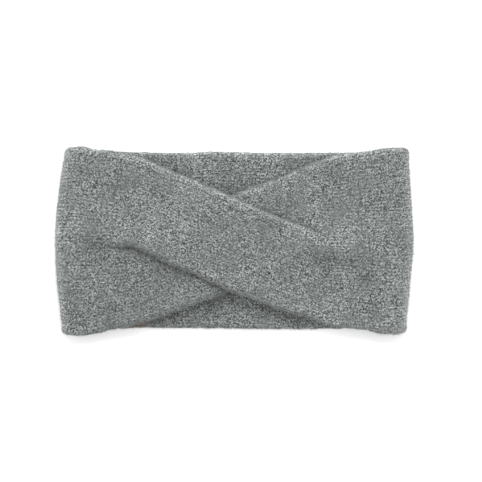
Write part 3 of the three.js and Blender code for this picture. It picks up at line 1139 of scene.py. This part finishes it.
# %% Finish a material
def add_bump(material, shader, height, strength, depth):
    links = {"Height": height, "Strength": strength, "Distance": depth}
    bump = add_node(material, "ShaderNodeBump", links)
    material.node_tree.links.new(bump.outputs[0], shader.inputs["Normal"])


def dress(pieces, material, shader, colour, values):
    """Give a material its colour and its even values, and put it on its pieces."""
    material.node_tree.links.new(colour, shader.inputs["Base Color"])
    for name, value in values.items():
        shader.inputs[name].default_value = value
    for piece in pieces:
        piece.data.materials.append(material)
    print(material.name, "has", len(material.node_tree.nodes), "nodes")


# %% [markdown]
# ## Stitches in the material
# Each wale is a column of V stitches. They show only faintly under the nap, and the twelve thousand
# stitches of the faces would be lost there as modelled loops. A pattern on the fabric map draws them
# as a slight bump and a slight change of grey: one ridge for each wale, notched by slanting lines
# that meet in a V.

# %% Stitches on the fabric map
COURSE = 2.0
STITCH_SLANT = 1.6
LEG_PART = 0.25
WALE_PART = 0.35


def stitch_height(material):
    """Height of the V stitches on the fabric map, from about 0 to 1."""
    fabric = add_node(material, "ShaderNodeUVMap", {}, uv_map="fabric").outputs["UV"]
    parts = add_node(material, "ShaderNodeSeparateXYZ", {0: fabric})
    wales = add_math(material, "MULTIPLY", parts.outputs[1], 1 / (WALE * MM))
    in_wale = add_math(material, "FRACT", wales)
    side = add_math(material, "ABSOLUTE", add_math(material, "SUBTRACT", in_wale, 0.5))
    course = add_math(material, "MULTIPLY", parts.outputs[0], 1 / (COURSE * MM))
    slant = add_math(material, "ADD", course, add_math(material, "MULTIPLY", side, STITCH_SLANT))
    legs = add_math(material, "SINE", add_math(material, "MULTIPLY", slant, 2 * np.pi))
    legs = add_math(material, "MULTIPLY_ADD", legs, LEG_PART)
    ridge = add_math(material, "COSINE", add_math(material, "MULTIPLY", side, 2 * np.pi))
    return add_math(material, "ADD", legs, add_math(material, "MULTIPLY", ridge, WALE_PART))


print("one stitch is", COURSE, "mm long and", WALE, "mm wide")


# %% Mixed greys
DARK_GREY = (0.025, 0.027, 0.027)
MIDDLE_GREY = (0.1096, 0.1181, 0.1163)
LIGHT_GREY = (0.31, 0.328, 0.325)
GREY_PLACES = (0.1, 0.5, 0.9)
# How strongly the walls' painted light and shade changes the grey.
PAINTED_LIGHT_STRENGTH = 0.66
FLECKS = 1650.0
FLECK_BEND = (0.0007, 0.0007, 0.0007)
FLECK_BENDS = 1500.0
FINE_SPECKS = 1200
CLUMPS = 760
# How much flecks, fine specks, clumps and stitches each move the grey.
FLECK_PART = 0.6
FINE_PART = 0.9
CLUMP_PART = 0.3
STITCH_PART = 0.17
STITCH_LEVEL = 0.45
CONTRAST = 1.95
CONTRAST_PATCHES = 70
BROAD_PATCHES = 24
BROAD_GREYS = [(0.3, (0.86, 0.86, 0.86)), (0.7, (1.14, 1.14, 1.14))]


def fleck_grey(material, where):
    """A random grey for each small cell, with bent edges."""
    noise = add_node(material, "ShaderNodeTexNoise", {"Vector": where, "Scale": FLECK_BENDS})
    links = {0: noise.outputs["Color"], 1: FLECK_BEND, 2: where}
    bent = add_node(material, "ShaderNodeVectorMath", links, operation="MULTIPLY_ADD").outputs[0]
    cells = add_node(material, "ShaderNodeTexVoronoi", {"Vector": bent, "Scale": FLECKS})
    return add_node(material, "ShaderNodeSeparateColor", {0: cells.outputs["Color"]}).outputs[0]


# %% From dark to light
def heather_share(material, where, stitches):
    """How far the grey lies between dark and light, from 0 to 1."""
    parts = [(fleck_grey(material, where), FLECK_PART)]
    parts += [(add_noise(material, where, FINE_SPECKS, 0), FINE_PART)]
    parts += [(add_noise(material, where, CLUMPS, 0), CLUMP_PART), (stitches, STITCH_PART)]
    share = 0.5 - 0.5 * (FLECK_PART + FINE_PART + CLUMP_PART) - STITCH_LEVEL * STITCH_PART
    for part, weight in parts:
        share = add_math(material, "ADD", add_math(material, "MULTIPLY", part, weight), share)
    patches = add_noise(material, where, CONTRAST_PATCHES, 1)
    strength = add_math(material, "MULTIPLY", patches, CONTRAST)
    share = add_math(material, "MULTIPLY", add_math(material, "SUBTRACT", share, 0.5), strength)
    return add_math(material, "ADD", share, 0.5)


def heather_colour(material, where, stitches):
    """Mixed greys at a place in the wool, lightened or darkened by painted light and shade."""
    greys = list(zip(GREY_PLACES, (DARK_GREY, MIDDLE_GREY, LIGHT_GREY)))
    colour = add_ramp(material, heather_share(material, where, stitches), greys)
    broad = add_ramp(material, add_noise(material, where, BROAD_PATCHES, 2), BROAD_GREYS)
    colour = multiply_colours(material, colour, broad)
    # The walls' painted light and shade scales the grey.
    painted_light = add_node(material, "ShaderNodeAttribute", {}, attribute_name="painted_light_and_shade").outputs["Fac"]
    gain = add_math(material, "ADD", add_math(material, "MULTIPLY", painted_light, PAINTED_LIGHT_STRENGTH), 1.0)
    links = {0: colour, 1: gain}
    return add_node(material, "ShaderNodeVectorMath", links, operation="MULTIPLY").outputs[0]


# %% Material of the knit
FUZZ = 1300
FUZZ_ROUGHNESS = 0.7
BUMP_STRENGTH = 0.6
BUMP_HEIGHT = 0.16 * MM
KNIT_FINISH = {"Roughness": 0.94, "Specular IOR Level": 0.12}
KNIT_SHEEN = {"Sheen Weight": 0.25, "Sheen Roughness": 0.5}
knit, knit_shader = new_material("grey_knit")
knit_place = add_node(knit, "ShaderNodeTexCoord", {}).outputs["Object"]
stitches = stitch_height(knit)
knit_colour = heather_colour(knit, knit_place, stitches)
fuzz_height = add_noise(knit, knit_place, FUZZ, 3, FUZZ_ROUGHNESS)
knit_height = add_math(knit, "ADD", fuzz_height, stitches)
add_bump(knit, knit_shader, knit_height, BUMP_STRENGTH, BUMP_HEIGHT)
walls = (band, strap_over, strap_under)
dress(walls, knit, knit_shader, knit_colour, {**KNIT_FINISH, **KNIT_SHEEN})

# %% [markdown]
# ## Colour of the nap
# Single fibres are dyed from near black to pale grey, so each fibre has a tone of its own. A second
# small noise breaks it up along the fibre. One grey for all would look like frost on the wool.
# Single fibres are a little smoother than the felted face that they rise from.

# %% Material of the nap
TONE_GREYS = [
    (0.0, (0.07, 0.074, 0.073)), (0.5, (0.18, 0.192, 0.189)),
    (0.85, (0.31, 0.328, 0.324)), (1.0, (0.5, 0.52, 0.515)),
]
FIBRE_SPECKS = 900
FIBRE_SPECK_GREYS = [(0.35, (0.85, 0.85, 0.85)), (0.65, (1.12, 1.12, 1.12))]
NAP_FINISH = {"Roughness": 0.85, "Specular IOR Level": 0.2, "Sheen Weight": 0.15}
nap, nap_shader = new_material("grey_nap")
tone = add_node(nap, "ShaderNodeAttribute", {}, attribute_name="tone").outputs["Fac"]
tone_colour = add_ramp(nap, tone, TONE_GREYS)
nap_place = add_node(nap, "ShaderNodeTexCoord", {}).outputs["Object"]
uneven = add_ramp(nap, add_noise(nap, nap_place, FIBRE_SPECKS, 1), FIBRE_SPECK_GREYS)
nap_colour = multiply_colours(nap, tone_colour, uneven)
dress((band_nap, over_nap, under_nap), nap, nap_shader, nap_colour, NAP_FINISH)

# %% [markdown]
# ## Finish of the leather
# The label is thin vegetable-tanned leather with a fine pebbled grain and a dull polish, rubbed
# paler in places. Cells of noise make the grain as a bump, and slow noise moves the colour between
# two browns, because a flat brown would look like plastic.

# %% Material of the label
BROWNS = [(0.35, (0.07, 0.046, 0.041)), (0.7, (0.15, 0.098, 0.087))]
BROWN_PATCHES = 260
GRAIN = 1900.0
GRAIN_STRENGTH = 0.5
GRAIN_HEIGHT = 0.08 * MM
LEATHER_FINISH = {"Roughness": 0.55, "Specular IOR Level": 0.4}
leather, leather_shader = new_material("brown_leather")
leather_place = add_node(leather, "ShaderNodeTexCoord", {}).outputs["Object"]
leather_colour = add_ramp(leather, add_noise(leather, leather_place, BROWN_PATCHES, 3), BROWNS)
grain = add_node(leather, "ShaderNodeTexVoronoi", {"Vector": leather_place, "Scale": GRAIN})
add_bump(leather, leather_shader, grain.outputs["Distance"], GRAIN_STRENGTH, GRAIN_HEIGHT)
dress([label], leather, leather_shader, leather_colour, LEATHER_FINISH)
